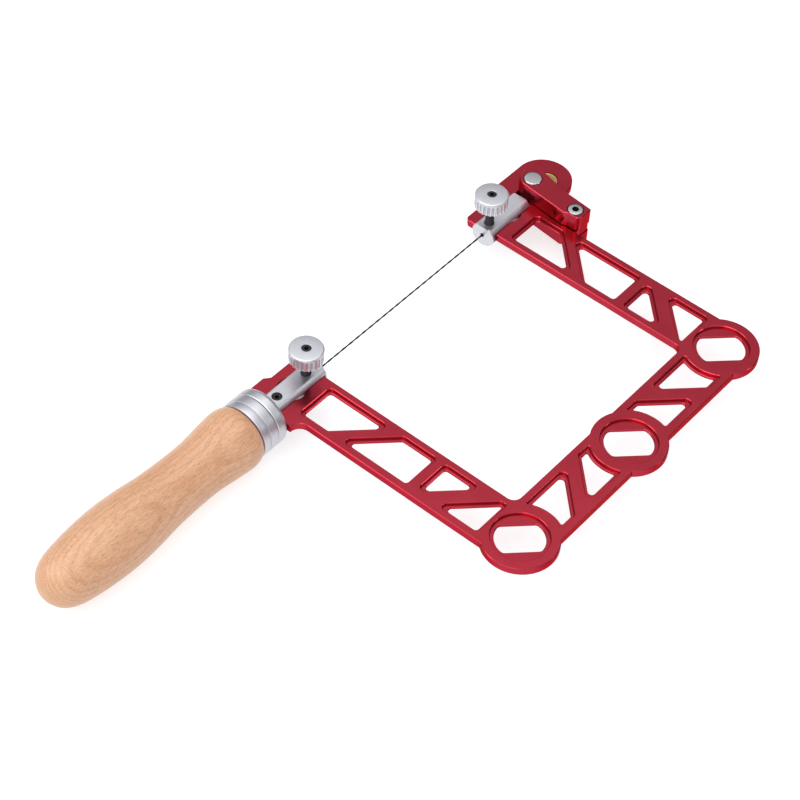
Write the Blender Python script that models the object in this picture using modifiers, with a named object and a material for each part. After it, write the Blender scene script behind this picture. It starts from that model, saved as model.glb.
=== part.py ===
"""Jeweler saw frame: flat machined frame, two clamp rods, cam lever, turned handle.

Design frame, in millimetres: X runs along the blade from the handle to the nose, Y runs
from the spine to the blade, Z is up. X = 0 is the throat side of the handle arm, Y = 0 is
the throat side of the spine, Z = 0 is the mid-plane of the plate and the blade axis.
"""
import math

import bmesh
import bpy
from mathutils import Vector

# ---------------------------------------------------------------- driving dimensions (mm)
GAP = 0.3                      # clearance between neighbouring pieces
PLATE_T = 3.8                  # frame plate thickness
EDGE_CHAMFER = 0.4             # broken edge round the plate
THROAT_W = 114.0               # free width between the arms
BLADE_Y = 106.0                # spine to blade axis
ARM_W = 25.0                   # width of arms and spine
RIM = 3.0                      # rim left round the pockets
LEDGE = 1.3                    # width of the thin ledge inside a pocket
LEDGE_T = 1.3                  # thickness of that ledge
CORNER_R = 4.0                 # throat corners
BOSS_R = 16.3                  # the three round bosses
BOSS_RECESS_R = 12.0
BOSS_HOLE_R = 10.4             # round part of the double-D hole
BOSS_FLATS = 13.7              # across the flats of the double-D hole
BOSS_IN = 12.0                 # corner boss centre, in from both throat edges
MID_BOSS = (57.0, -14.4)
ROD_R = 5.8                    # clamp rods
ROD_FLAT_Z = 4.5               # height of the milled flat above the rod axis
KEY_Y = 5.1                    # half width of the slot the rods ride in
NOTCH_X = 14.5                 # relief hole under each rod, from the throat edge
NOTCH_R = 6.2
KNOB_R = 7.5
KNOB_H = 7.0
SCREW_R = 2.0                  # M4 clamping screws
KNOB_NEAR = (-5.6, 19.5)       # axis x, top z
KNOB_FAR = (115.7, 21.6)
LOCK_X = -23.4                 # lock screw through the forked rear of the near rod
PIN_X = 146.3                  # cam lever pivot
PIN_R = 4.0
CHEEK_T = 7.7                  # thickness of each lever cheek
FERRULE_R = 12.9
FERRULE_X = (-30.5, -44.5)
HANDLE_X = (-44.8, -155.4)
BELLY_R = 14.7
NOSE = (157.0, 107.3)          # round nose of the far arm
NOSE_R = 12.9

BLADE_R = 0.45
BLADE_X = (-9.3, 119.2)
BORE_DEPTH = 11.6              # blade bore, from the front face of a rod

# Handle profile: distance behind the wood shoulder, radius.
HANDLE_PROFILE = (
    (0.0, 12.3), (1.0, 13.2), (5.2, 14.1), (12.5, 13.6), (24.0, 12.4), (35.0, 12.3),
    (48.0, 12.8), (61.0, 14.1), (73.5, 14.7), (86.0, 14.1), (96.0, 12.9), (102.5, 11.3),
    (107.0, 8.6), (109.7, 5.0),
)

# Part frame: centre of the outline, lowest point of the handle at Z = 0.
X_MID = (HANDLE_X[1] + NOSE[0] + NOSE_R) / 2
Y_MID = (MID_BOSS[1] - BOSS_R + BLADE_Y + BELLY_R) / 2
Z_MIN = -BELLY_R
HALF = PLATE_T / 2
MM = 0.001


# ---------------------------------------------------------------- scene and helpers
for old in list(bpy.data.objects):
    bpy.data.objects.remove(old, do_unlink=True)

SAW = bpy.data.collections.new("jeweler_saw_frame")
CUTS = bpy.data.collections.new("cutters")
bpy.context.scene.collection.children.link(SAW)
bpy.context.scene.collection.children.link(CUTS)


def place(x, y, z):
    """Design millimetres to part-frame metres."""
    return Vector((x - X_MID, y - Y_MID, z - Z_MIN)) * MM


def material(name, colour, metallic, roughness):
    mat = bpy.data.materials.new(name)
    mat.use_nodes = True
    node = mat.node_tree.nodes["Principled BSDF"]
    node.inputs["Base Color"].default_value = (*colour, 1.0)
    node.inputs["Metallic"].default_value = metallic
    node.inputs["Roughness"].default_value = roughness
    mat.diffuse_color = (*colour, 1.0)
    return mat


LOOKS = {
    "red": ((0.45, 0.02, 0.035), 0.6, 0.38),
    "silver": ((0.68, 0.68, 0.70), 0.85, 0.38),
    "black": ((0.03, 0.03, 0.032), 0.6, 0.45),
    "steel": ((0.55, 0.55, 0.56), 0.9, 0.35),
    "wood": ((0.72, 0.46, 0.26), 0.0, 0.5),
    "brass": ((0.70, 0.52, 0.22), 0.9, 0.35),
}


def finish(obj, look, smooth=35.0):
    """Give a piece its own material and collection."""
    colour, metallic, roughness = LOOKS[look]
    obj.data.materials.clear()
    obj.data.materials.append(material(obj.name + "_" + look, colour, metallic, roughness))
    for owner in list(obj.users_collection):
        owner.objects.unlink(obj)
    SAW.objects.link(obj)
    if smooth:
        for face in obj.data.polygons:
            face.use_smooth = True
        obj.data.set_sharp_from_angle(angle=math.radians(smooth))
    return obj


def cutter(obj):
    for owner in list(obj.users_collection):
        owner.objects.unlink(obj)
    CUTS.objects.link(obj)
    obj.hide_render = True
    obj.display_type = "WIRE"
    return obj


def cut(obj, tool, operation="DIFFERENCE"):
    mod = obj.modifiers.new(tool.name, "BOOLEAN")
    mod.operation = operation
    mod.solver = "EXACT"
    mod.object = tool
    return obj


def baked(obj):
    """Replace an object's curve or modifier stack by its finished mesh."""
    bpy.context.view_layer.update()
    graph = bpy.context.evaluated_depsgraph_get()
    mesh = bpy.data.meshes.new_from_object(obj.evaluated_get(graph))
    new = bpy.data.objects.new(obj.name + "_mesh", mesh)
    new.matrix_world = obj.matrix_world.copy()
    name = obj.name
    bpy.data.objects.remove(obj, do_unlink=True)
    new.name = name
    SAW.objects.link(new)
    weld(new)
    return new


def weld(obj):
    """Merge coincident points and clear leftover edges on flat faces."""
    bm = bmesh.new()
    bm.from_mesh(obj.data)
    bmesh.ops.remove_doubles(bm, verts=bm.verts, dist=2e-7)
    bmesh.ops.dissolve_limit(bm, angle_limit=math.radians(0.4), verts=bm.verts,
                             edges=bm.edges)
    bmesh.ops.recalc_face_normals(bm, faces=bm.faces)
    bm.to_mesh(obj.data)
    bm.free()


def arc(cx, cy, r, start, end, steps):
    """Points on an arc; angles in degrees."""
    points = []
    for i in range(steps + 1):
        a = math.radians(start + (end - start) * i / steps)
        points.append((cx + r * math.cos(a), cy + r * math.sin(a)))
    return points


def filleted(corners, steps=3):
    """Closed outline from (x, y, radius) corners."""
    points = []
    count = len(corners)
    for i, (x, y, r) in enumerate(corners):
        here = Vector((x, y))
        if r <= 0.0:
            points.append((x, y))
            continue
        before = Vector(corners[i - 1][:2]) - here
        after = Vector(corners[(i + 1) % count][:2]) - here
        half = before.angle(after) / 2
        reach = min(r / math.tan(half), 0.45 * before.length, 0.45 * after.length)
        r = reach * math.tan(half)
        before.normalize()
        after.normalize()
        centre = here + (before + after).normalized() * (r / math.sin(half))
        first = here + before * reach - centre
        last = here + after * reach - centre
        a0 = math.atan2(first.y, first.x)
        turn = math.atan2(last.y, last.x) - a0
        turn = (turn + math.pi) % (2 * math.pi) - math.pi
        for k in range(steps + 1):
            a = a0 + turn * k / steps
            points.append((centre.x + r * math.cos(a), centre.y + r * math.sin(a)))
    return points


def outline_solid(name, loops, z0, z1, at=(0.0, 0.0, 0.0), chamfer=0.0):
    """Flat solid from closed loops (first outer, others holes) between two heights."""
    curve = bpy.data.curves.new(name, "CURVE")
    curve.dimensions = "2D"
    curve.fill_mode = "BOTH"
    curve.extrude = ((z1 - z0) / 2 - chamfer) * MM
    if chamfer > 0.0:
        curve.bevel_depth = chamfer * MM
        curve.bevel_resolution = 0
        curve.offset = -chamfer * MM
    for loop in loops:
        spline = curve.splines.new("POLY")
        spline.points.add(len(loop) - 1)
        for point, (x, y) in zip(spline.points, loop):
            point.co = ((x - at[0]) * MM, (y - at[1]) * MM, 0.0, 1.0)
        spline.use_cyclic_u = True
    obj = bpy.data.objects.new(name, curve)
    SAW.objects.link(obj)
    obj.location = place(at[0], at[1], (z0 + z1) / 2)
    new = baked(obj)
    shift = (z0 + z1) / 2 - at[2]
    for vert in new.data.vertices:
        vert.co.z += shift * MM
    new.location = place(*at)
    return new


def turned(name, profile, at, axis="Z", steps=24):
    """Turned solid: (radius, height) pairs down the outer side, top to bottom."""
    mesh = bpy.data.meshes.new(name)
    verts = [(r * MM, 0.0, h * MM) for r, h in profile]
    edges = [(i, i + 1) for i in range(len(verts) - 1)]
    mesh.from_pydata(verts, edges, [])
    obj = bpy.data.objects.new(name, mesh)
    SAW.objects.link(obj)
    screw = obj.modifiers.new("turn", "SCREW")
    screw.steps = steps
    screw.render_steps = steps
    screw.use_merge_vertices = True
    screw.merge_threshold = 0.000001
    screw.use_normal_calculate = True
    obj.location = place(*at)
    new = baked(obj)
    if axis == "X":
        for vert in new.data.vertices:
            x, y, z = vert.co
            vert.co = (z, y, -x)
    return new


def round_bar(name, r, h0, h1, at, axis="Z", steps=24, chamfer=0.0):
    top = [(0.0, h1), (r - chamfer, h1)]
    bottom = [(r - chamfer, h0), (0.0, h0)]
    side = [(r, h1 - chamfer), (r, h0 + chamfer)] if chamfer > 0.0 else []
    return turned(name, top + side + bottom, at, axis, steps)


def tube(name, outer, inner, at, axis="Z", steps=24):
    """Turned ring: outer profile down, inner profile back up."""
    return turned(name, outer + inner + [outer[0]], at, axis, steps)


def box(name, x, y, z):
    """Box between two corners given as ranges, in design millimetres."""
    centre = place((x[0] + x[1]) / 2, (y[0] + y[1]) / 2, (z[0] + z[1]) / 2)
    bpy.ops.mesh.primitive_cube_add(size=1.0, location=centre)
    obj = bpy.context.object
    obj.name = name
    size = (abs(x[1] - x[0]) * MM, abs(y[1] - y[0]) * MM, abs(z[1] - z[0]) * MM)
    for vert in obj.data.vertices:
        vert.co = (vert.co.x * size[0], vert.co.y * size[1], vert.co.z * size[2])
    return obj


def hex_tool(name, flats, x, y, z0, z1):
    """Hexagon prism used to cut a socket."""
    radius = flats / math.sqrt(3.0)
    loop = [(x + radius * math.cos(math.radians(60 * i)),
             y + radius * math.sin(math.radians(60 * i))) for i in range(6)]
    return cutter(outline_solid(name, [loop], z0, z1))


def mirrored(loop):
    """The same loop on the far arm."""
    return [(THROAT_W - x, y) for x, y in reversed(loop)]


# ---------------------------------------------------------------- frame plate
def pocket_corners():
    """Pockets of the handle arm and of the handle half of the spine."""
    a = -ARM_W + RIM
    b = -RIM
    top = 94.8
    pockets = [
        [(b, top), (a, top), (a, 58.0 - a), (b, 58.0 - b)],
        [(b, 52.0 - b), (a, 52.0 - a), (a, 37.6), (b, 37.6)],
        [(b, 33.5), (a - 1.0, 33.5), (b, 10.5 - b)],
        [(b, 1.6 - b), (a, 1.6 - a), (a, 1.7), (b, 1.7)],
    ]
    return pockets


def inset(points, distance):
    """Move every side of a convex outline inwards."""
    result = []
    count = len(points)
    for i in range(count):
        before = Vector(points[i - 1])
        here = Vector(points[i])
        after = Vector(points[(i + 1) % count])
        d0 = (here - before).normalized()
        d1 = (after - here).normalized()
        n0 = Vector((-d0.y, d0.x))
        n1 = Vector((-d1.y, d1.x))
        bisector = (n0 + n1).normalized()
        result.append(tuple(here + bisector * (distance / max(0.2, bisector.dot(n0)))))
    return result


def arm_pocket_loops(distance, radius):
    loops = []
    for corners in pocket_corners():
        shrunk = inset(corners, distance)
        loops.append(filleted([(x, y, radius) for x, y in shrunk]))
    return loops


def spine_pocket_loops(distance, radius):
    """Two pockets between a corner boss and the middle boss, curved on the boss side."""
    top = -3.3 - distance
    low = -ARM_W + RIM + 0.5 + distance
    around = BOSS_R + 0.6 + distance
    lean = distance * math.sqrt(2.0)
    loops = []
    a_top = math.degrees(math.asin((top + BOSS_IN) / around))
    a_low = math.degrees(math.asin((low + BOSS_IN) / around))
    side = arc(-BOSS_IN, -BOSS_IN, around, a_low, a_top, 5)
    slant = 32.3 - lean
    corners = [(x, y, 0.0) for x, y in side[1:-1]]
    corners = [(side[0][0], side[0][1], 1.2)] + corners + [(side[-1][0], side[-1][1], 1.2)]
    corners += [(slant + top, top, radius), (slant + low, low, radius)]
    loops.append(filleted(corners))
    mx, my = MID_BOSS
    b_top = 180.0 - math.degrees(math.asin((top - my) / around))
    b_low = 180.0 - math.degrees(math.asin((low - my) / around))
    side = arc(mx, my, around, b_top, b_low, 5)
    slant = 40.5 + lean
    corners = [(side[0][0], side[0][1], 1.0)]
    corners += [(x, y, 0.0) for x, y in side[1:-1]]
    corners += [(side[-1][0], side[-1][1], 1.2)]
    corners += [(slant + low, low, radius), (slant + top, top, radius)]
    loops.append(filleted(corners))
    return loops


def double_d(cx, cy):
    """Round hole with two flats that run at 45 degrees."""
    half = BOSS_FLATS / 2
    spread = math.degrees(math.asin(half / BOSS_HOLE_R))
    first = arc(cx, cy, BOSS_HOLE_R, -45 - spread, -45 + spread, 6)
    second = arc(cx, cy, BOSS_HOLE_R, 135 - spread, 135 + spread, 6)
    return first + second


def plate_outline():
    """Outer edge of the plate, anticlockwise, with the slots of both clamp rods."""
    low = BLADE_Y - KEY_Y
    high = BLADE_Y + KEY_Y
    far = THROAT_W + ARM_W
    reach = math.degrees(math.asin(KEY_Y / NOTCH_R))
    points = []
    # Throat, from the handle arm down, along the spine and up the far arm.
    points += [(0.0, low)]
    points += arc(CORNER_R, CORNER_R, CORNER_R, 180, 270, 4)
    mx, my = MID_BOSS
    rise = math.degrees(math.asin(-my / BOSS_R))
    points += arc(mx, my, BOSS_R, 180 - rise, rise, 6)
    points += arc(THROAT_W - CORNER_R, CORNER_R, CORNER_R, 270, 360, 4)
    points += [(THROAT_W, low)]
    # Slot of the far rod: relief hole, stud slot, room for the stud eye.
    notch = THROAT_W + NOTCH_X
    points += arc(notch, BLADE_Y, NOTCH_R, 180 + reach, 330, 8)[0:]
    points += [(notch + NOTCH_R - 0.6, BLADE_Y - 2.9), (139.9, BLADE_Y - 2.9)]
    points += [(141.4, BLADE_Y - 4.7)]
    points += arc(PIN_X, BLADE_Y, 4.7, -90, 90, 8)
    points += [(141.4, BLADE_Y + 4.7), (139.9, BLADE_Y + 2.9)]
    points += [(notch + NOTCH_R - 0.6, BLADE_Y + 2.9)]
    points += arc(notch, BLADE_Y, NOTCH_R, 30, 180 - reach, 8)
    # Far prong and nose.
    points += [(112.8, high), (112.8, 115.4), (114.4, 117.0), (128.8, 117.0), (131.6, 120.2)]
    points += arc(NOSE[0], NOSE[1], NOSE_R, 90, -90, 14)
    points += arc(far + 5.0, NOSE[1] - NOSE_R - 5.0, 5.0, 90, 180, 5)
    # Outer side of the far arm, bosses and spine.
    boss = THROAT_W + BOSS_IN
    spread = math.degrees(math.acos((ARM_W - BOSS_IN) / BOSS_R))
    points += arc(boss, -BOSS_IN, BOSS_R, spread, -90 - spread, 16)
    dip = math.degrees(math.asin((ARM_W + my) / BOSS_R))
    points += arc(mx, my, BOSS_R, -dip, -180 + dip, 10)
    points += arc(-BOSS_IN, -BOSS_IN, BOSS_R, -90 + spread, -180 - spread, 16)
    # Outer side of the handle arm, flange at the ferrule, near prong.
    points += arc(-ARM_W - 5.0, 87.5, 5.0, 0, 85, 5)
    points += [(-30.2, 92.5), (-30.2, 118.6), (-18.0, 118.6), (-15.3, 116.5)]
    points += [(-1.0, 116.5), (0.2, 115.3), (0.2, high)]
    points += arc(-NOTCH_X, BLADE_Y, NOTCH_R, reach, 360 - reach, 12)
    return points


boss_centres = ((-BOSS_IN, -BOSS_IN), (THROAT_W + BOSS_IN, -BOSS_IN), MID_BOSS)
through = arm_pocket_loops(LEDGE, 1.6) + spine_pocket_loops(LEDGE, 1.6)
through += [mirrored(loop) for loop in through]
through += [double_d(x, y) for x, y in boss_centres]
through += [arc(LOCK_X, BLADE_Y, SCREW_R + GAP, 0, 330, 11)]

frame = outline_solid("frame_plate", [plate_outline()] + through, -HALF, HALF,
                      chamfer=EDGE_CHAMFER)
recess = arm_pocket_loops(0.0, 2.2) + spine_pocket_loops(0.0, 2.2)
recess += [mirrored(loop) for loop in recess]
recess += [arc(x, y, BOSS_RECESS_R, 0, 345, 23) for x, y in boss_centres]
inlay_xy = (156.8, 105.6)
INLAY_R = 5.0
upper = recess + [arc(inlay_xy[0], inlay_xy[1], INLAY_R + GAP, 0, 342, 19)]
cut(frame, cutter(outline_solid("recess_top", upper, LEDGE_T / 2, HALF + 1.0)))
cut(frame, cutter(outline_solid("recess_bottom", recess, -HALF - 1.0, -LEDGE_T / 2)))
frame = baked(frame)
finish(frame, "red")

inlay = round_bar("nose_inlay", INLAY_R, LEDGE_T / 2 + GAP, HALF - 0.1,
                  (inlay_xy[0], inlay_xy[1], 0.0), steps=20)
finish(inlay, "brass")


# ---------------------------------------------------------------- clamp rods
def clamp_rod(name, x_front, x_rear, knob_x, toward, fork_x, key_x):
    """Rod with a milled flat, blade bore, screw hole, side keyways and a forked rear."""
    x0 = min(x_front, x_rear)
    x1 = max(x_front, x_rear)
    rod = round_bar(name, ROD_R, x0 - knob_x, x1 - knob_x, (knob_x, BLADE_Y, 0.0), "X",
                    28, 0.4)
    flat_end = knob_x - toward * 1.0
    flat = box(name + "_flat", sorted((flat_end, x_rear + toward * 1.0)),
               (BLADE_Y - 8, BLADE_Y + 8), (ROD_FLAT_Z, 9.0))
    cut(rod, cutter(flat))
    scoop = round_bar(name + "_scoop", 4.4, ROD_FLAT_Z, 9.0, (flat_end, BLADE_Y, 0.0))
    cut(rod, cutter(scoop))
    bore_x = sorted((x_front - toward * 1.0, x_front + toward * BORE_DEPTH))
    bore = round_bar(name + "_bore", 1.0, bore_x[0] - x_front, bore_x[1] - x_front,
                     (x_front, BLADE_Y, 0.0), "X", 16)
    cut(rod, cutter(bore))
    hole = round_bar(name + "_hole", SCREW_R + GAP, 0.0, 9.0, (knob_x, BLADE_Y, 0.0))
    cut(rod, cutter(hole))
    for side in (-1, 1):
        y0 = BLADE_Y + side * (KEY_Y - GAP)
        y1 = BLADE_Y + side * (ROD_R + 1.0)
        key = box(name + "_key" + ("_a" if side < 0 else "_b"),
                  sorted((key_x, fork_x + toward * 0.7)), sorted((y0, y1)),
                  (-HALF - GAP, HALF + GAP))
        cut(rod, cutter(key))
    fork = box(name + "_fork", sorted((fork_x, x_rear + toward * 1.0)),
               (BLADE_Y - 8, BLADE_Y + 8), (-HALF - GAP, HALF + GAP))
    cut(rod, cutter(fork))
    return rod


NEAR_ROD_X = (1.6, -38.0)
near_rod = clamp_rod("near_clamp_rod", NEAR_ROD_X[0], NEAR_ROD_X[1], KNOB_NEAR[0], -1,
                     -17.7, 0.5)
cut(near_rod, cutter(round_bar("near_rod_lock", SCREW_R + GAP, -3.9, 9.0,
                               (LOCK_X, BLADE_Y, 0.0))))
DOWEL_X = -34.2
cut(near_rod, cutter(round_bar("near_rod_dowel", 1.55, -9.0, 9.0,
                               (DOWEL_X, BLADE_Y, 0.0), steps=20)))
near_rod = baked(near_rod)
finish(near_rod, "silver")

FAR_ROD_X = (111.2, 138.2)
far_rod = clamp_rod("far_clamp_rod", FAR_ROD_X[0], FAR_ROD_X[1], KNOB_FAR[0], 1,
                    131.5, 112.6)
cut(far_rod, cutter(round_bar("far_rod_stud_hole", 2.8, 124.6 - 128, 12.0,
                              (128.0, BLADE_Y, 0.0), "X", 24)))
far_rod = baked(far_rod)
finish(far_rod, "silver")


# ---------------------------------------------------------------- thumbscrews
def thumbscrew(prefix, axis_x, top_z):
    """M4 socket screw with a knurled knob on its head and a brass pad at its tip."""
    tip = 2.25
    screw_top = top_z - 0.15
    screw = round_bar(prefix + "_clamp_screw", SCREW_R, tip, screw_top,
                      (axis_x, BLADE_Y, 0.0), "Z", 24, 0.25)
    cut(screw, hex_tool(prefix + "_socket", 2.0, axis_x, BLADE_Y, screw_top - 2.2,
                        screw_top + 1.0))
    screw = baked(screw)
    finish(screw, "black")
    low = top_z - KNOB_H
    bore = SCREW_R + GAP
    knob = tube(prefix + "_knob",
                [(KNOB_R - 0.7, top_z), (KNOB_R, top_z - 0.7), (KNOB_R, low + 0.5),
                 (KNOB_R - 0.5, low)],
                [(bore, low), (bore, top_z)], (axis_x, BLADE_Y, 0.0), "Z", 36)
    flutes = []
    for i in range(25):
        a = 360.0 * (i + 0.5) / 25
        cx = axis_x + (KNOB_R + 0.15) * math.cos(math.radians(a))
        cy = BLADE_Y + (KNOB_R + 0.15) * math.sin(math.radians(a))
        flutes.append(arc(cx, cy, 0.72, a, a + 300, 5))
    cut(knob, cutter(outline_solid(prefix + "_flutes", flutes, low - 1.0, top_z - 2.0)))
    knob = baked(knob)
    finish(knob, "silver")
    pad = round_bar(prefix + "_blade_pad", 1.7, 0.75, 1.95, (axis_x, BLADE_Y, 0.0),
                    steps=20)
    finish(pad, "brass")


thumbscrew("near", *KNOB_NEAR)
thumbscrew("far", *KNOB_FAR)

lock = round_bar("near_lock_screw", SCREW_R, -3.5, ROD_FLAT_Z - 0.3,
                 (LOCK_X, BLADE_Y, 0.0), "Z", 24, 0.2)
cut(lock, hex_tool("lock_socket", 2.0, LOCK_X, BLADE_Y, ROD_FLAT_Z - 2.5, 9.0))
finish(baked(lock), "black")

blade = round_bar("spiral_blade", BLADE_R, BLADE_X[0], BLADE_X[1], (0.0, BLADE_Y, 0.0),
                  "X", 10)
finish(blade, "black")


# ---------------------------------------------------------------- cam lever at the nose
stud = round_bar("tension_stud", 2.5, 125.0 - PIN_X, 138.4 - PIN_X,
                 (PIN_X, BLADE_Y, 0.0), "X", 24, 0.3)
tongue = outline_solid("stud_eye", [
    [(137.6, BLADE_Y - 2.3)] + arc(PIN_X, BLADE_Y, 4.2, -147, 147, 18)
    + [(137.6, BLADE_Y + 2.3)]], -HALF, HALF)
cut(stud, cutter(tongue), "UNION")
cut(stud, cutter(round_bar("stud_bore", 2.6, -5.0, 5.0, (PIN_X, BLADE_Y, 0.0), steps=24)))
finish(baked(stud), "black")

CHEEK = (HALF + GAP, HALF + GAP + CHEEK_T)
LEVER_END = 74.8
LEVER_SCREW = (143.3, 79.9)
LEVER_HEAD_R = 3.5


def lever_loop():
    """Plan of a lever cheek: round head over the pin, bar, square screw end."""
    head = arc(147.3, BLADE_Y, 6.5, 8, 176, 12)
    foot = [(138.4, 83.0, 1.0), (139.3, 81.2, 1.2), (139.3, LEVER_END, 2.4),
            (148.2, LEVER_END, 0.8), (149.6, 90.0, 8.0)]
    return head + filleted([(head[-1][0], head[-1][1], 0.0)] + foot
                           + [(head[0][0], head[0][1], 0.0)], 3)[1:-1]


def cheek(name, z0, z1):
    return outline_solid(name, [lever_loop()], z0, z1, (PIN_X, BLADE_Y, 0.0), 0.35)


top = cheek("lever_top", *CHEEK)
cut(top, cutter(round_bar("top_pin_bore", 2.6, 0.0, 12.0, (PIN_X, BLADE_Y, 0.0))))
cut(top, cutter(round_bar("top_pin_sink", PIN_R + GAP, 6.9, 12.0,
                          (PIN_X, BLADE_Y, 0.0))))
top = baked(top)
cut(top, cutter(round_bar("top_screw_bore", 2.3, 0.0, 12.0, (*LEVER_SCREW, 0.0))))
cut(top, cutter(round_bar("top_screw_sink", LEVER_HEAD_R + GAP, 7.2, 12.0,
                          (*LEVER_SCREW, 0.0))))
top = baked(top)
DIMPLE_Y = 85.5
cut(top, cutter(round_bar("side_dimple", 3.2, 130.0 - PIN_X, 140.4 - PIN_X,
                          (PIN_X, DIMPLE_Y, (CHEEK[0] + CHEEK[1]) / 2), "X", 26)))
finish(baked(top), "red")

base = cheek("lever_base", -CHEEK[1], -CHEEK[0])
web = outline_solid("lever_web", [filleted([
    (139.6, LEVER_END + 0.35, 2.1), (147.8, LEVER_END + 0.35, 0.5), (147.8, 82.6, 1.0),
    (139.6, 82.6, 1.0)])], -CHEEK[0] - 1.5, HALF)
cut(base, cutter(web), "UNION")
cut(base, cutter(round_bar("base_pin_bore", 2.6, -12.0, 0.0, (PIN_X, BLADE_Y, 0.0))))
cut(base, cutter(round_bar("base_pin_sink", PIN_R + GAP, -12.0, -6.9,
                           (PIN_X, BLADE_Y, 0.0))))
cut(base, cutter(round_bar("base_screw_bore", 2.3, -7.5, 5.0, (*LEVER_SCREW, 0.0))))
finish(baked(base), "red")

screw = turned("lever_screw", [(0.0, CHEEK[1] + 0.35), (LEVER_HEAD_R - 0.5, CHEEK[1] + 0.35),
                               (LEVER_HEAD_R, CHEEK[1] - 0.1), (LEVER_HEAD_R, 7.5), (2.0, 7.5),
                               (2.0, -7.0), (1.7, -7.2), (0.0, -7.2)],
               (*LEVER_SCREW, 0.0))
cut(screw, hex_tool("lever_socket", 3.0, LEVER_SCREW[0], LEVER_SCREW[1],
                    CHEEK[1] - 2.0, CHEEK[1] + 2.0))
finish(baked(screw), "steel")

pin = turned("cam_pin", [(0.0, CHEEK[1] + 0.45), (3.6, CHEEK[1] + 0.45),
                         (PIN_R, CHEEK[1] + 0.05), (PIN_R, 7.2), (2.3, 7.2),
                         (2.3, -9.3), (0.0, -9.3)], (PIN_X, BLADE_Y, 0.0))
finish(pin, "steel")
collar = tube("pin_collar", [(PIN_R - 0.3, -7.2), (PIN_R, -7.5), (PIN_R, -CHEEK[1] + 0.3),
                             (PIN_R - 0.3, -CHEEK[1])],
              [(2.6, -CHEEK[1]), (2.6, -7.2)], (PIN_X, BLADE_Y, 0.0))
finish(collar, "steel")


# ---------------------------------------------------------------- ferrule and handle
FX0, FX1 = FERRULE_X
nut = tube("ferrule_front",
           [(FERRULE_R - 1.3, FX0), (FERRULE_R, FX0 - 1.6), (FERRULE_R, -35.4),
            (FERRULE_R - 0.4, -35.8)],
           [(ROD_R + GAP, -35.8), (ROD_R + GAP, FX0)], (0.0, BLADE_Y, 0.0), "X", 36)
finish(nut, "silver")
sleeve = tube("ferrule_sleeve",
              [(FERRULE_R - 0.4, -36.1), (FERRULE_R, -36.5), (FERRULE_R, -40.4),
               (FERRULE_R - 0.5, -40.8), (FERRULE_R, -41.2), (FERRULE_R, FX1)],
              [(11.2, FX1), (11.2, -36.1)], (0.0, BLADE_Y, 0.0), "X", 36)
finish(sleeve, "silver")


def smooth_profile(points, per_span):
    """Catmull-Rom curve through the handle stations."""
    result = []
    count = len(points)
    for i in range(count - 1):
        p0 = Vector(points[max(0, i - 1)])
        p1 = Vector(points[i])
        p2 = Vector(points[i + 1])
        p3 = Vector(points[min(count - 1, i + 2)])
        for k in range(per_span):
            t = k / per_span
            point = 0.5 * (2 * p1 + (p2 - p0) * t + (2 * p0 - 5 * p1 + 4 * p2 - p3) * t * t
                           + (3 * p1 - p0 - 3 * p2 + p3) * t * t * t)
            result.append((point.x, point.y))
    result.append(points[-1])
    return result


stations = smooth_profile(HANDLE_PROFILE, 2)
outer = [(10.9, -36.4), (10.9, HANDLE_X[0])]
outer += [(r, HANDLE_X[0] - s) for s, r in stations]
outer += [(0.0, HANDLE_X[1])]
bore = [(0.0, -97.0), (3.4, -97.0), (3.4, -64.0), (4.6, -64.0), (4.6, -39.6),
        (ROD_R + GAP, -39.6), (ROD_R + GAP, -36.4), (10.9, -36.4)]
handle = turned("handle", outer + bore, (0.0, BLADE_Y, 0.0), "X", 24)
finish(handle, "wood", 30.0)

insert = tube("handle_insert", [(4.3, -39.9), (4.3, -63.5)], [(3.4, -63.5), (3.4, -39.9)],
              (0.0, BLADE_Y, 0.0), "X", 24)
finish(insert, "brass")
tang = round_bar("handle_tang", 3.0, -95.0, -38.4, (0.0, BLADE_Y, 0.0), "X", 24, 0.4)
tongue = box("tang_tongue", (-39.5, -30.8), (BLADE_Y - 4.0, BLADE_Y + 4.0), (-HALF, HALF))
cut(tang, cutter(tongue), "UNION")
cut(tang, cutter(round_bar("tang_dowel_hole", 1.55, -9.0, 9.0,
                           (DOWEL_X, BLADE_Y, 0.0), steps=20)))
finish(baked(tang), "steel")
dowel = round_bar("tang_dowel", 1.25, -4.9, 4.4, (DOWEL_X, BLADE_Y, 0.0), "Z", 20, 0.2)
finish(dowel, "steel")
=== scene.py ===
"""Looks of the jeweler saw frame: detailed pieces, procedural materials, light, camera."""
import math

import bmesh
import bpy
from mathutils import Matrix, Vector


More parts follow.
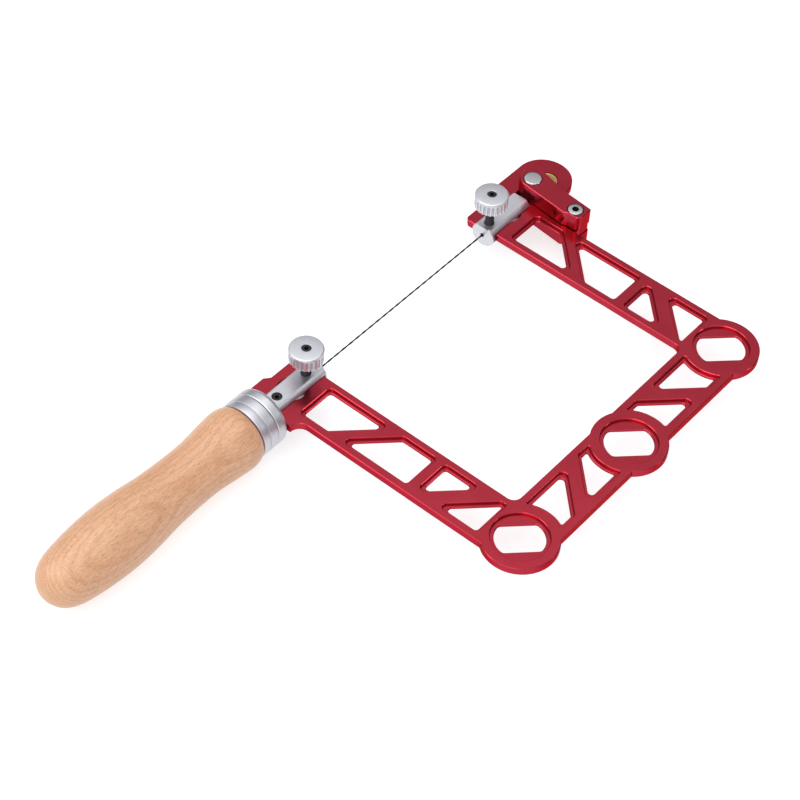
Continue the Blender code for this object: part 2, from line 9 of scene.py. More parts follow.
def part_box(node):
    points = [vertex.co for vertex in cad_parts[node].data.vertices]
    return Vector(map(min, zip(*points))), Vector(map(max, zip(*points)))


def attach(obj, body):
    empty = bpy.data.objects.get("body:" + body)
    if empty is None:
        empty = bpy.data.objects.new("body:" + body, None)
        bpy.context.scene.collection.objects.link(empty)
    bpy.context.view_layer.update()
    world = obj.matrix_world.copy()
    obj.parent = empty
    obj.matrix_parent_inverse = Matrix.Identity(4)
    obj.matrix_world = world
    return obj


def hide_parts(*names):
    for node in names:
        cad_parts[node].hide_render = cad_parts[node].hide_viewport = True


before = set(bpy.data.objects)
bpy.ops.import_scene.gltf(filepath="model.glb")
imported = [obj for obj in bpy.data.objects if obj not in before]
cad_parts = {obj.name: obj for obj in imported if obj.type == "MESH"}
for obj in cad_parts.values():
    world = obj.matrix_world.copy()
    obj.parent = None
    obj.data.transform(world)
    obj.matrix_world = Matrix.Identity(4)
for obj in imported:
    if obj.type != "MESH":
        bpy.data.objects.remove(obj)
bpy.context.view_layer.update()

# ------------------------------------------------------------------ sizes, millimetres
# Design frame: X along the blade, Y from the spine to the blade, Z up, blade axis Z = 0.
MM = 0.001
BLADE_START, BLADE_END = -9.3, 119.2
BLADE_Y = 106.0
BLADE_HALF = (0.45, 0.29)
TWIST_PITCH = 8.8
TOOTH_BITE = 0.07
blade_low, blade_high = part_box("spiral_blade")
ORIGIN = Vector((blade_low.x - BLADE_START * MM,
                 (blade_low.y + blade_high.y) / 2 - BLADE_Y * MM,
                 (blade_low.z + blade_high.z) / 2))
# Plate: half thickness, window ledge, throat, arms, bosses with their recess and hole.
HALF = 1.9
LEDGE = 1.3
LEDGE_T = 1.3
THROAT_W = 114.0
ARM_W = 25.0
RIM = 3.0
CORNER_R = 4.0
BOSS_R = 16.3
RECESS_R = 12.0
HOLE_R = 10.4
FLATS = 13.7
BOSS_IN = 12.0
MID_BOSS = (57.0, -14.4)
BOSSES = ((-BOSS_IN, -BOSS_IN), (THROAT_W + BOSS_IN, -BOSS_IN), MID_BOSS)
NOSE = (157.0, 107.3)
NOSE_R = 12.9
INLAY = (156.8, 105.6)
INLAY_R = 5.0
# Clamp rods, the slots they sit in, and the thumbscrews.
ROD_R = 5.8
FLAT_Z = 4.5
SCOOP_R = 4.4
GRIP_DEPTH = 11.6
BLADE_BORE_R = 1.0
KEY_Y = 5.1
NOTCH_X = 14.5
NOTCH_R = 6.2
SCREW_R = 2.0
SCREW_HOLE_R = 2.3
SCREW_PITCH = 0.7
SCREW_THREAD = 0.24
SOCKET_FLATS = 2.0
KNOB_R = 7.5
KNOB_H = 7.0
FLUTES = 25
FLUTE_SIDES = 14
FLUTE_R = 0.62
FLUTE_DEPTH = 0.95
NEAR_KNOB = (-5.6, 19.5)
FAR_KNOB = (115.7, 21.6)
LOCK_X = -23.4
DOWEL_X = -34.2
# Cam lever, its pin and screw, and the stud between lever and far rod.
PIN_X = 146.3
PIN_HOLE_R = 2.6
PIN_SINK_R = 4.3
LEVER_SCREW = (143.3, 79.9)
LEVER_END = 74.8
CAP_SINK_R = 3.8
CAP_SOCKET_FLATS = 3.0
DIMPLE_R = 3.2
CHEEK = (2.2, 9.9)
STUD_R = 2.45
STUD_PITCH = 0.8
STUD_THREAD = 0.3
STUD_SLOT = 2.9
EYE_R = 4.2
EYE_ROOM = 4.7
FERRULE_R = 12.9
# Clearance between fitted pieces, and chamfers of outer edges and of window ledges.
GAP = 0.3
EDGE = 0.30
LEDGE_EDGE = 0.2
# How far a chamfer tool reaches past the faces it cuts, a height clear of every rod, and
# the number of sides of the largest turned pieces.
SLIP = 0.06
BEYOND = 9.0
ROUND = 128


def place(x, y, z):
    """Design millimetres to frame metres."""
    return Vector((x, y, z)) * MM + ORIGIN


# ------------------------------------------------------------------ materials
RED_DARK, RED_LIGHT = (0.385, 0.030, 0.048), (0.425, 0.037, 0.055)
RED_GLINT = (0.62, 0.20, 0.24)
SATIN_GREY = (0.60, 0.60, 0.64)
FERRULE_GREY = (0.57, 0.57, 0.61)
STEEL_GREY = (0.52, 0.52, 0.53)
OXIDE_BLACK = (0.022, 0.022, 0.024)
BLADE_BLACK = (0.008, 0.008, 0.008)
LINK_GREY = (0.05, 0.05, 0.052)
BRASS = (0.62, 0.42, 0.15)
GILT = (0.55, 0.36, 0.13)
FLOOR_WHITE = (0.42, 0.42, 0.425)
WHITE = (1.0, 1.0, 1.0)
WAVE_SCALE = 0.314  # a wave texture of this scale repeats once a metre


def tree(name, metallic):
    """New material; its colour and roughness are set by the caller."""
    mat = bpy.data.materials.new(name)
    mat.use_nodes = True
    nodes = mat.node_tree.nodes
    shader = nodes["Principled BSDF"]
    shader.inputs["Metallic"].default_value = metallic
    return mat, nodes, mat.node_tree.links, shader


def coords(nodes, links, scale=(1.0, 1.0, 1.0), centre=(0.0, 0.0, 0.0), turn=(0.0, 0.0, 0.0)):
    """Object coordinates about a centre, turned and scaled."""
    where = nodes.new("ShaderNodeTexCoord")
    move = nodes.new("ShaderNodeVectorMath")
    move.operation = "SUBTRACT"
    move.inputs[1].default_value = centre
    mapping = nodes.new("ShaderNodeMapping")
    mapping.inputs["Rotation"].default_value = turn
    mapping.inputs["Scale"].default_value = scale
    links.new(where.outputs["Object"], move.inputs[0])
    links.new(move.outputs[0], mapping.inputs["Vector"])
    return mapping.outputs["Vector"]


def noise(nodes, links, vector, scale, detail, rough=0.55):
    tex = nodes.new("ShaderNodeTexNoise")
    tex.inputs["Scale"].default_value = scale
    tex.inputs["Detail"].default_value = detail
    tex.inputs["Roughness"].default_value = rough
    links.new(vector, tex.inputs["Vector"])
    return tex.outputs["Fac"]


def ramp(nodes, links, fac, stops):
    """Colour ramp through (position, colour) stops."""
    node = nodes.new("ShaderNodeValToRGB")
    node.color_ramp.elements[0].position = stops[0][0]
    node.color_ramp.elements[0].color = (*stops[0][1], 1.0)
    node.color_ramp.elements[1].position = stops[-1][0]
    node.color_ramp.elements[1].color = (*stops[-1][1], 1.0)
    for position, colour in stops[1:-1]:
        element = node.color_ramp.elements.new(position)
        element.color = (*colour, 1.0)
    links.new(fac, node.inputs["Fac"])
    return node.outputs["Color"]


def spread(nodes, links, fac, low, high):
    """Map a 0..1 value to a range."""
    node = nodes.new("ShaderNodeMapRange")
    node.inputs["To Min"].default_value = low
    node.inputs["To Max"].default_value = high
    links.new(fac, node.inputs["Value"])
    return node.outputs["Result"]


def unit_range(nodes, links, value):
    """Map -1..1 to 0..1."""
    node = nodes.new("ShaderNodeMapRange")
    node.inputs["From Min"].default_value = -1.0
    links.new(value, node.inputs["Value"])
    return node.outputs["Result"]


def bump(nodes, links, shader, height, strength, distance):
    node = nodes.new("ShaderNodeBump")
    node.inputs["Strength"].default_value = strength
    node.inputs["Distance"].default_value = distance
    links.new(height, node.inputs["Height"])
    links.new(node.outputs["Normal"], shader.inputs["Normal"])


def multiply(nodes, links, strength, a, b):
    """Darken colour a by colour b, with a strength from 0 to 1."""
    node = nodes.new("ShaderNodeMix")
    node.data_type = "RGBA"
    node.blend_type = "MULTIPLY"
    node.inputs["Factor"].default_value = strength
    links.new(a, node.inputs["A"])
    links.new(b, node.inputs["B"])
    return node.outputs["Result"]


def anodised(name):
    """Bead-blasted, satin red anodising: fine grain, slight cloudiness."""
    mat, nodes, links, shader = tree(name, 0.92)
    vector = coords(nodes, links)
    fine = noise(nodes, links, vector, 2600.0, 2.0)
    cloud = noise(nodes, links, vector, 55.0, 2.0)
    colour = ramp(nodes, links, cloud, ((0.3, RED_DARK), (0.7, RED_LIGHT)))
    links.new(colour, shader.inputs["Base Color"])
    links.new(spread(nodes, links, fine, 0.18, 0.24), shader.inputs["Roughness"])
    shader.inputs["Specular Tint"].default_value = (*RED_GLINT, 1.0)
    bump(nodes, links, shader, fine, 0.04, 0.00003)
    return mat


def aluminium(name, axis, centre, pitch=0.22, colour=SATIN_GREY, roughness=0.38, marks=0.08):
    """Turned or milled bright metal: fine tool marks in rings, or in bands along an axis."""
    mat, nodes, links, shader = tree(name, 0.94)
    vector = coords(nodes, links, centre=centre)
    wave = nodes.new("ShaderNodeTexWave")
    wave.inputs["Scale"].default_value = WAVE_SCALE / (pitch * MM)
    wave.inputs["Distortion"].default_value = 0.6
    wave.inputs["Detail Scale"].default_value = 2.0
    if axis == "rings":
        wave.wave_type = "RINGS"
        wave.rings_direction = "Z"
    else:
        wave.wave_type = "BANDS"
        wave.bands_direction = axis
    links.new(vector, wave.inputs["Vector"])
    patch = noise(nodes, links, vector, 260.0, 3.0)
    grit = noise(nodes, links, vector, 3200.0, 1.0)
    dull = spread(nodes, links, patch, roughness - 0.02, roughness + 0.04)
    links.new(dull, shader.inputs["Roughness"])
    tone = ramp(nodes, links, patch, ((0.25, tuple(c * 0.98 for c in colour)),
                                      (0.75, tuple(min(1.0, c * 1.02) for c in colour))))
    links.new(tone, shader.inputs["Base Color"])
    height = nodes.new("ShaderNodeMath")
    height.operation = "ADD"
    links.new(wave.outputs["Fac"], height.inputs[0])
    links.new(grit, height.inputs[1])
    bump(nodes, links, shader, height.outputs[0], marks, 0.00002)
    return mat


def dark_steel(name, colour, roughness):
    """Dark steel with an uneven oily sheen."""
    mat, nodes, links, shader = tree(name, 0.65)
    patch = noise(nodes, links, coords(nodes, links), 900.0, 4.0)
    tone = ramp(nodes, links, patch, ((0.3, colour), (0.8, tuple(c * 2.4 for c in colour))))
    links.new(tone, shader.inputs["Base Color"])
    links.new(spread(nodes, links, patch, roughness - 0.1, roughness + 0.12),
              shader.inputs["Roughness"])
    bump(nodes, links, shader, patch, 0.2, 0.00004)
    return mat


def brass(name, colour=BRASS):
    """Brass, darker in patches."""
    mat, nodes, links, shader = tree(name, 0.9)
    patch = noise(nodes, links, coords(nodes, links), 1100.0, 3.0)
    tone = ramp(nodes, links, patch, ((0.3, tuple(c * 0.72 for c in colour)), (0.75, colour)))
    links.new(tone, shader.inputs["Base Color"])
    links.new(spread(nodes, links, patch, 0.28, 0.5), shader.inputs["Roughness"])
    bump(nodes, links, shader, patch, 0.15, 0.00004)
    return mat


def beech(name, axis_point):
    """Clear lacquered beech: tilted growth rings, long grain, short dark pore lines."""
    mat, nodes, links, shader = tree(name, 0.0)
    pith = (axis_point.x, axis_point.y + 0.026, axis_point.z - 0.030)
    around = coords(nodes, links, (0.10, 1.0, 1.0), pith, (0.0, 0.05, 0.085))
    rings = nodes.new("ShaderNodeTexWave")
    rings.wave_type = "RINGS"
    rings.rings_direction = "X"
    rings.inputs["Scale"].default_value = 210.0
    rings.inputs["Distortion"].default_value = 1.7
    rings.inputs["Detail"].default_value = 2.0
    rings.inputs["Detail Scale"].default_value = 1.2
    links.new(around, rings.inputs["Vector"])
    turn = (0.0, 0.0, 0.10)
    grain = noise(nodes, links, coords(nodes, links, (0.05, 1, 1), axis_point, turn),
                  3400.0, 3.0, 0.6)
    broad = noise(nodes, links, coords(nodes, links, (0.16, 1, 1), axis_point, turn),
                  130.0, 2.0)
    pore = noise(nodes, links, coords(nodes, links, (0.085, 1, 1), axis_point, turn),
                 5200.0, 1.0)
    fibre = ramp(nodes, links, grain, ((0.30, (0.50, 0.250, 0.130)),
                                       (0.46, (0.61, 0.345, 0.195)),
                                       (0.68, (0.70, 0.415, 0.260))))
    late = ramp(nodes, links, rings.outputs["Fac"], ((0.0, WHITE),
                                                     (0.65, (0.96, 0.93, 0.90)),
                                                     (1.0, (0.88, 0.80, 0.73))))
    base = multiply(nodes, links, 0.75, fibre, late)
    tint = ramp(nodes, links, broad, ((0.35, (0.90, 0.83, 0.78)), (0.65, WHITE)))
    base = multiply(nodes, links, 0.55, base, tint)
    lines = ramp(nodes, links, pore, ((0.31, (0.52, 0.38, 0.30)), (0.39, WHITE)))
    base = multiply(nodes, links, 0.85, base, lines)
    links.new(base, shader.inputs["Base Color"])
    links.new(spread(nodes, links, grain, 0.36, 0.52), shader.inputs["Roughness"])
    shader.inputs["Coat Weight"].default_value = 0.25
    shader.inputs["Coat Roughness"].default_value = 0.3
    bump(nodes, links, shader, grain, 0.18, 0.00006)
    return mat


# ------------------------------------------------------------------ mesh helpers
def keep(mesh, name):
    """Put a mesh in the scene as an object."""
    obj = bpy.data.objects.new(name, mesh)
    bpy.context.scene.collection.objects.link(obj)
    return obj


def solid(bm, name):
    """Use up a bmesh: a new object with its normals outwards."""
    bmesh.ops.recalc_face_normals(bm, faces=bm.faces)
    mesh = bpy.data.meshes.new(name)
    bm.to_mesh(mesh)
    bm.free()
    return keep(mesh, name)


def skin(bm, rows):
    """Tube over rows of points, with a flat cap at each end."""
    rings = [[bm.verts.new(point) for point in row] for row in rows]
    for low, high in zip(rings, rings[1:]):
        for k in range(len(low)):
            n = (k + 1) % len(low)
            bm.faces.new((low[k], low[n], high[n], high[k]))
    bm.faces.new(list(reversed(rings[0])))
    bm.faces.new(rings[-1])


def bake(obj):
    """Apply modifiers and placement, weld, and turn the normals outwards."""
    bpy.context.view_layer.update()
    graph = bpy.context.evaluated_depsgraph_get()
    mesh = bpy.data.meshes.new_from_object(obj.evaluated_get(graph))
    mesh.transform(obj.matrix_world)
    name = obj.name
    bpy.data.objects.remove(obj, do_unlink=True)
    bm = bmesh.new()
    bm.from_mesh(mesh)
    bmesh.ops.remove_doubles(bm, verts=bm.verts, dist=2e-7)
    bmesh.ops.recalc_face_normals(bm, faces=bm.faces)
    bm.to_mesh(mesh)
    bm.free()
    new = keep(mesh, name)
    new.name = name
    return new


def lathe(name, profile, centre, axis="Z", steps=64):
    """Closed turned solid from (radius, height) pairs; radius 0 makes a pole."""
    bm = bmesh.new()
    rings = []
    for r, h in profile:
        ring = []
        count = 1 if r <= 1e-9 else steps
        for k in range(count):
            a = 2 * math.pi * k / steps
            local = Vector((r * math.cos(a), r * math.sin(a), h))
            if axis == "X":
                local = Vector((h, r * math.cos(a), r * math.sin(a)))
            ring.append(bm.verts.new(place(*(Vector(centre) + local))))
        rings.append(ring)
    pairs = list(zip(rings[:-1], rings[1:]))
    if profile[0][0] > 1e-9 and profile[-1][0] > 1e-9:
        pairs.append((rings[-1], rings[0]))
    for a, b in pairs:
        for k in range(steps):
            n = (k + 1) % steps
            if len(a) == 1 and len(b) == 1:
                continue
            if len(a) == 1:
                bm.faces.new((a[0], b[k], b[n]))
            elif len(b) == 1:
                bm.faces.new((a[k], b[0], a[n]))
            else:
                bm.faces.new((a[k], b[k], b[n], a[n]))
    return solid(bm, name)


def bar(name, r, h0, h1, centre, axis="Z", steps=48, edge=0.0):
    """Round bar, with chamfered ends if an edge is given."""
    top = [(0.0, h1), (r - edge, h1)]
    side = [(r, h1 - edge), (r, h0 + edge)] if edge > 0.0 else []
    return lathe(name, top + side + [(r - edge, h0), (0.0, h0)], centre, axis, steps)


def block(name, x, y, z):
    """Box between two values on each axis."""
    bm = bmesh.new()
    bmesh.ops.create_cube(bm, size=1.0)
    size = Vector((x[1] - x[0], y[1] - y[0], z[1] - z[0]))
    mid = Vector((x[1] + x[0], y[1] + y[0], z[1] + z[0])) / 2
    for vert in bm.verts:
        vert.co = place(*(mid + Vector(c * s for c, s in zip(vert.co, size))))
    return solid(bm, name)


def sheet_metal(name, loops, z0, z1):
    """Flat solid from closed loops: first is the outside, the rest are holes."""
    curve = bpy.data.curves.new(name, "CURVE")
    curve.dimensions = "2D"
    curve.fill_mode = "BOTH"
    curve.extrude = (z1 - z0) / 2 * MM
    for loop in loops:
        spline = curve.splines.new("POLY")
        spline.points.add(len(loop) - 1)
        for point, (x, y) in zip(spline.points, loop):
            point.co = (x * MM, y * MM, 0.0, 1.0)
        spline.use_cyclic_u = True
    obj = bpy.data.objects.new(name, curve)
    bpy.context.scene.collection.objects.link(obj)
    obj.location = ORIGIN + Vector((0.0, 0.0, (z0 + z1) / 2 * MM))
    return bake(obj)


def hexagon(flats, x, y):
    """Corners of a hexagon, from the distance across its flats."""
    r = flats / math.sqrt(3.0)
    return [(x + r * math.cos(math.radians(60 * i)), y + r * math.sin(math.radians(60 * i)))
            for i in range(6)]


def cut(obj, tool, operation="DIFFERENCE"):
    """Exact boolean, applied at once; the tool is used up."""
    mod = obj.modifiers.new("cut", "BOOLEAN")
    mod.operation = operation
    mod.solver = "EXACT"
    mod.object = tool
    new = bake(obj)
    bpy.data.objects.remove(tool, do_unlink=True)
    return new


def soften(obj, width):
    """Round every edge sharper than 45 degrees."""
    bm = bmesh.new()
    bm.from_mesh(obj.data)
    bmesh.ops.dissolve_limit(bm, angle_limit=math.radians(0.4), verts=bm.verts,
                             edges=bm.edges)
    bm.to_mesh(obj.data)
    bm.free()
    mod = obj.modifiers.new("edges", "BEVEL")
    mod.width = width * MM
    mod.segments = 2
    mod.limit_method = "ANGLE"
    mod.angle_limit = math.radians(45.0)
    mod.use_clamp_overlap = True
    return bake(obj)


def dress(obj, mat, body, nodes, smooth=32.0):
    """Colour and shade a finished piece, and put it on its body in place of CAD nodes."""
    obj.data.materials.clear()
    obj.data.materials.append(mat)
    for face in obj.data.polygons:
        face.use_smooth = True
    obj.data.set_sharp_from_angle(angle=math.radians(smooth))
    weighted = obj.modifiers.new("normals", "WEIGHTED_NORMAL")
    weighted.keep_sharp = True
    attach(obj, body)
    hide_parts(*nodes)


# ------------------------------------------------------------------ outlines
def arc(cx, cy, r, start, end, steps):
    """Points on a circle from one angle to another, in degrees."""
    result = []
    for i in range(steps + 1):
        a = math.radians(start + (end - start) * i / steps)
        result.append((cx + r * math.cos(a), cy + r * math.sin(a)))
    return result


def filleted(corners, steps=8):
    """Loop through (x, y, radius) corners, rounded where the radius is above zero."""
    points = []
    count = len(corners)
    for i, (x, y, r) in enumerate(corners):
        here = Vector((x, y))
        if r <= 0.0:
            points.append((x, y))
            continue
        before = Vector(corners[i - 1][:2]) - here
        after = Vector(corners[(i + 1) % count][:2]) - here
        half = before.angle(after) / 2
        reach = min(r / math.tan(half), 0.45 * before.length, 0.45 * after.length)
        r = reach * math.tan(half)
        before.normalize()
        after.normalize()
        centre = here + (before + after).normalized() * (r / math.sin(half))
        first = here + before * reach - centre
        last = here + after * reach - centre
        a0 = math.atan2(first.y, first.x)
        turn = math.atan2(last.y, last.x) - a0
        turn = (turn + math.pi) % (2 * math.pi) - math.pi
        for k in range(steps + 1):
            a = a0 + turn * k / steps
            points.append((centre.x + r * math.cos(a), centre.y + r * math.sin(a)))
    return points


def mirrored(loop):
    """The same loop on the other arm."""
    return [(THROAT_W - x, y) for x, y in reversed(loop)]


def inset(points, distance):
    """Loop moved to the left of its own direction by a distance."""
    result = []
    count = len(points)
    for i in range(count):
        before, here = Vector(points[i - 1]), Vector(points[i])
        after = Vector(points[(i + 1) % count])
        d0 = (here - before).normalized()
        d1 = (after - here).normalized()
        n0 = Vector((-d0.y, d0.x))
        n1 = Vector((-d1.y, d1.x))
        way = (n0 + n1).normalized()
        result.append(tuple(here + way * (distance / max(0.2, way.dot(n0)))))
    return result


def chamfered(obj, rims):
    """Cut 45 degree chamfers round flat faces.

    A rim is a closed loop, 1 if the metal is inside it or -1 if it is outside, the height
    of the face, 1 if the face looks up or -1 if down, and the width of the chamfer.
    """
    bm = bmesh.new()
    for loop, metal, z, up, width in rims:
        loop = [p for p, q in zip(loop, loop[1:] + loop[:1]) if math.dist(p, q) > 0.001]
        area = sum(p[0] * q[1] - q[0] * p[1] for p, q in zip(loop, loop[1:] + loop[:1]))
        turn = metal if area > 0 else -metal
        metal_side = inset(loop, turn * (width + SLIP))
        air_side = inset(loop, -turn * SLIP)
        lines = ((air_side, z - up * (width + SLIP)), (metal_side, z + up * SLIP),
                 (air_side, z + up * SLIP))
        rings = [[bm.verts.new(place(x, y, height)) for x, y in line]
                 for line, height in lines]
        for first, second in zip(rings, rings[1:] + rings[:1]):
            for i in range(len(loop)):
                j = (i + 1) % len(loop)
                bm.faces.new((first[i], first[j], second[j], second[i]))
    return cut(obj, solid(bm, "chamfer_tool"))


def pocket_loops(distance, radius):
    """Arm and spine pockets of both halves, shrunk by a distance."""
    # Arm pockets, from the rod end down to the spine; sloping sides run at 45 degrees.
    out, into = -ARM_W + RIM, -RIM
    arms = [
        [(into, 94.8), (out, 94.8), (out, 58.0 - out), (into, 58.0 - into)],
        [(into, 52.0 - into), (out, 52.0 - out), (out, 37.6), (into, 37.6)],
        [(into, 33.5), (out - 1.0, 33.5), (into, 10.5 - into)],
        [(into, 1.6 - into), (out, 1.6 - out), (out, 1.7), (into, 1.7)],
    ]
    loops = [filleted([(x, y, radius) for x, y in inset(corners, distance)])
             for corners in arms]
    # Spine pockets, each between a round boss and a sloping side.
    top = -3.3 - distance
    low = -ARM_W + RIM + 0.5 + distance
    around = BOSS_R + 0.6 + distance
    lean = distance * math.sqrt(2.0)
    a_top = math.degrees(math.asin((top + BOSS_IN) / around))
    a_low = math.degrees(math.asin((low + BOSS_IN) / around))
    side = arc(-BOSS_IN, -BOSS_IN, around, a_low, a_top, 14)
    slant = 32.3 - lean
    corners = [(*side[0], 1.4)] + [(x, y, 0.0) for x, y in side[2:-2]] + [(*side[-1], 1.4)]
    corners += [(slant + top, top, radius), (slant + low, low, radius)]
    loops.append(filleted(corners))
    mx, my = MID_BOSS
    b_top = 180.0 - math.degrees(math.asin((top - my) / around))
    b_low = 180.0 - math.degrees(math.asin((low - my) / around))
    side = arc(mx, my, around, b_top, b_low, 14)
    slant = 40.5 + lean
    corners = [(*side[0], 1.2)] + [(x, y, 0.0) for x, y in side[2:-2]] + [(*side[-1], 1.4)]
    corners += [(slant + low, low, radius), (slant + top, top, radius)]
    loops.append(filleted(corners))
    return loops + [mirrored(loop) for loop in loops]


def double_d(cx, cy):
    """Round hole with two 45 degree flats and softened corners."""
    half_turn = math.degrees(math.asin(FLATS / 2 / HOLE_R))
    first = arc(cx, cy, HOLE_R, -45 - half_turn, -45 + half_turn, 18)
    second = arc(cx, cy, HOLE_R, 135 - half_turn, 135 + half_turn, 18)
    corners = []
    for side in (first, second):
        corners.append((*side[0], 2.4))
        corners += [(x, y, 0.0) for x, y in side[3:-3]]
        corners.append((*side[-1], 2.4))
    return filleted(corners, 5)


def plate_outline():
    """Outer edge of the plate, from the near rod's slot round the throat to the nose and back."""
    low, high = BLADE_Y - KEY_Y, BLADE_Y + KEY_Y
    far = THROAT_W + ARM_W
    reach = math.degrees(math.asin(KEY_Y / NOTCH_R))
    mx, my = MID_BOSS
    rise = math.degrees(math.asin(-my / BOSS_R))
    boss = THROAT_W + BOSS_IN
    swing = math.degrees(math.acos((ARM_W - BOSS_IN) / BOSS_R))
    dip = math.degrees(math.asin((ARM_W + my) / BOSS_R))
    notch = THROAT_W + NOTCH_X
    slot_start, slot_end, eye_start = notch + NOTCH_R - 0.6, 139.9, 141.4
    p = [(0.0, low)]
    p += arc(CORNER_R, CORNER_R, CORNER_R, 180, 270, 12)
    p += arc(mx, my, BOSS_R, 180 - rise, rise, 20)
    p += arc(THROAT_W - CORNER_R, CORNER_R, CORNER_R, 270, 360, 12)
    p += [(THROAT_W, low)]
    p += arc(notch, BLADE_Y, NOTCH_R, 180 + reach, 330, 18)
    p += [(slot_start, BLADE_Y - STUD_SLOT), (slot_end, BLADE_Y - STUD_SLOT)]
    p += [(eye_start, BLADE_Y - EYE_ROOM)] + arc(PIN_X, BLADE_Y, EYE_ROOM, -90, 90, 20)
    p += [(eye_start, BLADE_Y + EYE_ROOM), (slot_end, BLADE_Y + STUD_SLOT)]
    p += [(slot_start, BLADE_Y + STUD_SLOT)]
    p += arc(notch, BLADE_Y, NOTCH_R, 30, 180 - reach, 18)
    p += [(112.8, high), (112.8, 115.4), (114.4, 117.0), (128.8, 117.0), (131.6, 120.2)]
    p += arc(NOSE[0], NOSE[1], NOSE_R, 90, -90, 48)
    p += arc(far + 5.0, NOSE[1] - NOSE_R - 5.0, 5.0, 90, 180, 12)
    p += arc(boss, -BOSS_IN, BOSS_R, swing, -90 - swing, 56)
    p += arc(mx, my, BOSS_R, -dip, -180 + dip, 36)
    p += arc(-BOSS_IN, -BOSS_IN, BOSS_R, -90 + swing, -180 - swing, 56)
    p += arc(-ARM_W - 5.0, 87.5, 5.0, 0, 85, 12)
    p += [(-30.2, 92.5), (-30.2, 118.6), (-18.0, 118.6), (-15.3, 116.5)]
    p += [(-1.0, 116.5), (0.2, 115.3), (0.2, high)]
    p += arc(-NOTCH_X, BLADE_Y, NOTCH_R, reach, 360 - reach, 40)
    return p


# ------------------------------------------------------------------ frame plate
holes = pocket_loops(LEDGE, 1.6)
holes += [double_d(x, y) for x, y in BOSSES]
holes += [arc(LOCK_X, BLADE_Y, SCREW_HOLE_R, 0, 345, 23)]
plate = sheet_metal("frame_body", [plate_outline()] + holes, -HALF, HALF)
steps_in = pocket_loops(0.0, 2.2) + [arc(x, y, RECESS_R, 0, 355, 71) for x, y in BOSSES]
upper = steps_in + [arc(*INLAY, INLAY_R + GAP, 0, 350, 35)]
plate = cut(plate, sheet_metal("top_pockets", upper, LEDGE_T / 2, HALF + 1.0))
plate = cut(plate, sheet_metal("low_pockets", steps_in, -HALF - 1.0, -LEDGE_T / 2))
rims = []
for up in (1, -1):
    rims += [(plate_outline(), 1, up * HALF, up, EDGE)]
    rims += [(loop, -1, up * HALF, up, EDGE) for loop in steps_in]
    rims += [(loop, -1, up * LEDGE_T / 2, up, LEDGE_EDGE) for loop in holes[:-1]]
plate = chamfered(plate, rims)
RED = anodised("red_anodised_plate")
dress(plate, RED, "root", ("frame_plate",))

inlay = lathe("nose_disc", [(0.0, 1.8), (INLAY_R - 0.9, 1.8), (INLAY_R - 0.7, 1.72),
                            (INLAY_R - 0.5, 1.8), (INLAY_R - 0.1, 1.8), (INLAY_R, 1.7),
                            (INLAY_R, 0.95), (0.0, 0.95)], (*INLAY, 0.0))
dress(inlay, brass("gilt_disc", GILT), "root", ("nose_inlay",))


# ------------------------------------------------------------------ clamp rods
def clamp_rod(name, x_front, x_rear, knob_x, toward, fork_x, key_x, extra):
    """Round rod with a milled flat and scoop, blade bore, screw hole, keyways and a fork.

    toward is the direction from the blade to the rod's rear end; extra holds more tools.
    """
    across = (BLADE_Y - 8.0, BLADE_Y + 8.0)
    x0, x1 = sorted((x_front, x_rear))
    rod = bar(name, ROD_R, x0, x1, (0.0, BLADE_Y, 0.0), "X", 96, 0.4)
    flat_end = knob_x - toward * 1.0
    x = sorted((flat_end, x_rear + toward * 1.0))
    rod = cut(rod, block("flat", x, across, (FLAT_Z, BEYOND)))
    rod = cut(rod, bar("scoop", SCOOP_R, FLAT_Z, BEYOND, (flat_end, BLADE_Y, 0.0), "Z", 64))
    x = sorted((x_front - toward, x_front + toward * GRIP_DEPTH))
    rod = cut(rod, bar("bore", BLADE_BORE_R, x[0], x[1], (0.0, BLADE_Y, 0.0), "X", 32))
    rod = cut(rod, bar("hole", SCREW_HOLE_R, 0.0, BEYOND, (knob_x, BLADE_Y, 0.0)))
    for side in (-1, 1):
        y = sorted((BLADE_Y + side * (KEY_Y - GAP), BLADE_Y + side * (ROD_R + 1.0)))
        x = sorted((key_x, fork_x + toward * 0.7))
        rod = cut(rod, block("key", x, y, (-HALF - GAP, HALF + GAP)))
    x = sorted((fork_x, x_rear + toward))
    rod = cut(rod, block("fork", x, across, (-HALF - GAP, HALF + GAP)))
    for tool in extra:
        rod = cut(rod, tool)
    return soften(rod, 0.12)


near_extra = [bar("lock", SCREW_HOLE_R, -3.9, BEYOND, (LOCK_X, BLADE_Y, 0.0)),
              bar("dowel", 1.55, -BEYOND, BEYOND, (DOWEL_X, BLADE_Y, 0.0))]
near_rod = clamp_rod("rod_near", 1.6, -38.0, NEAR_KNOB[0], -1, -17.7, 0.5, near_extra)
dress(near_rod, aluminium("rod_near_aluminium", "X", ORIGIN), "root",
      ("near_clamp_rod",))
far_extra = [bar("stud_hole", 2.8, 124.6, 140.0, (0.0, BLADE_Y, 0.0), "X")]
far_rod = clamp_rod("rod_far", 111.2, 138.2, FAR_KNOB[0], 1, 131.5, 112.6, far_extra)
dress(far_rod, aluminium("rod_far_aluminium", "X", ORIGIN), "far_rod",
      ("far_clamp_rod",))


